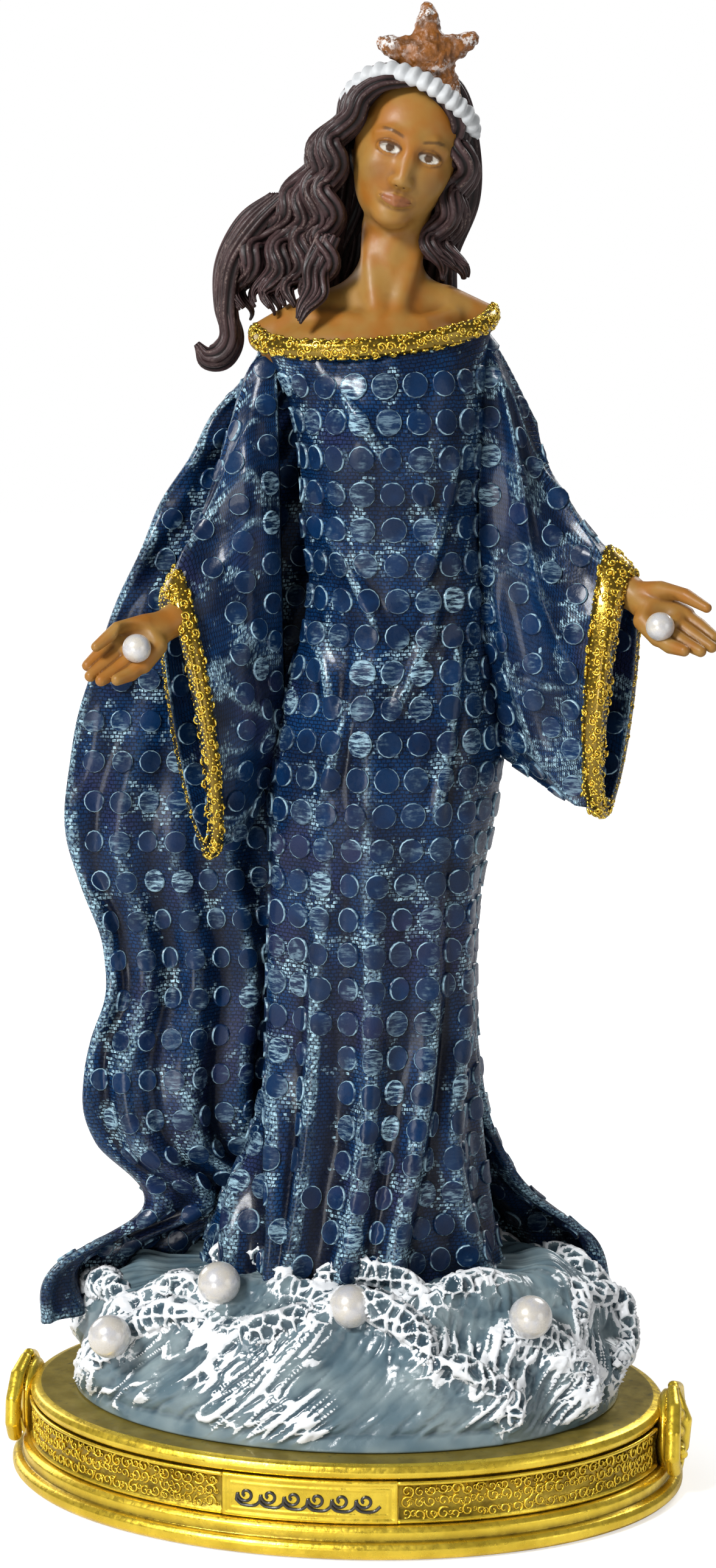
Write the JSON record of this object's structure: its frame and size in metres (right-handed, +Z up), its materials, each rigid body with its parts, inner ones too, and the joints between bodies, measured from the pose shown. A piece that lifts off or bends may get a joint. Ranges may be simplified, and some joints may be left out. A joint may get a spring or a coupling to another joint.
{
  "type": "devotional statue",
  "caption": "Standing robed woman with open arms, a starfish crown and a sequinned gown and mantle, on breaking waves on an oval gilt plinth.",
  "frame": {"origin": "centre of the underside of the felt pad under the plinth", "axes": "+Z up, -Y the plaque side of the plinth, +X to a viewer's right when facing the plaque; the figure is turned 8.5 degrees anticlockwise about Z seen from above. In node names left means -X and right means +X."},
  "size_m": [0.1459, 0.1002, 0.2991],
  "materials": {
    "gilt": "bright gold paint on cast resin, antiqued olive-brown in the recesses",
    "braid": "glossy granular gold paint on raised braid",
    "felt": "dark green felt",
    "gown": "deep navy paint on cast resin with a coarse weave, raised discs and pale dry-brushed high spots",
    "skin": "satin ochre-brown paint with an orange glaze",
    "hair": "dark brown paint, strands dry-brushed pale",
    "shell": "matt white paint, grey in the pleats",
    "starfish": "orange-brown paint with white granules",
    "sea": "blue-grey paint with white foam brushed on the crests",
    "pearl": "pearl lustre",
    "steel": "plain wire, not seen"
  },
  "bodies": {
    "root": {"felt_pad": "felt", "plinth": "gilt", "name_plaque": "gilt", "frieze_front_left": "gilt", "frieze_front_right": "gilt", "frieze_rear": "gilt", "scroll_mount_left": "gilt", "scroll_mount_right": "gilt", "plinth_dowel": "steel", "sea_waves": "sea", "wave_pearl_1": "pearl", "wave_pearl_2": "pearl", "wave_pearl_3": "pearl", "wave_pearl_4": "pearl", "gown": "gown", "mantle": "gown", "sleeve_left": "gown", "sleeve_right": "gown", "sleeve_braid_left": "braid", "sleeve_braid_right": "braid", "neck_braid": "braid", "hand_left": "skin", "hand_right": "skin", "bust": "skin", "palm_pearl_left": "pearl", "palm_pearl_right": "pearl", "hand_pin_left": "steel", "hand_pin_right": "steel", "hair_crown": "hair", "hair_locks_left": "hair", "hair_locks_right": "hair", "crown_band": "shell", "starfish": "starfish", "star_pin": "steel"}
  },
  "joints": []
}
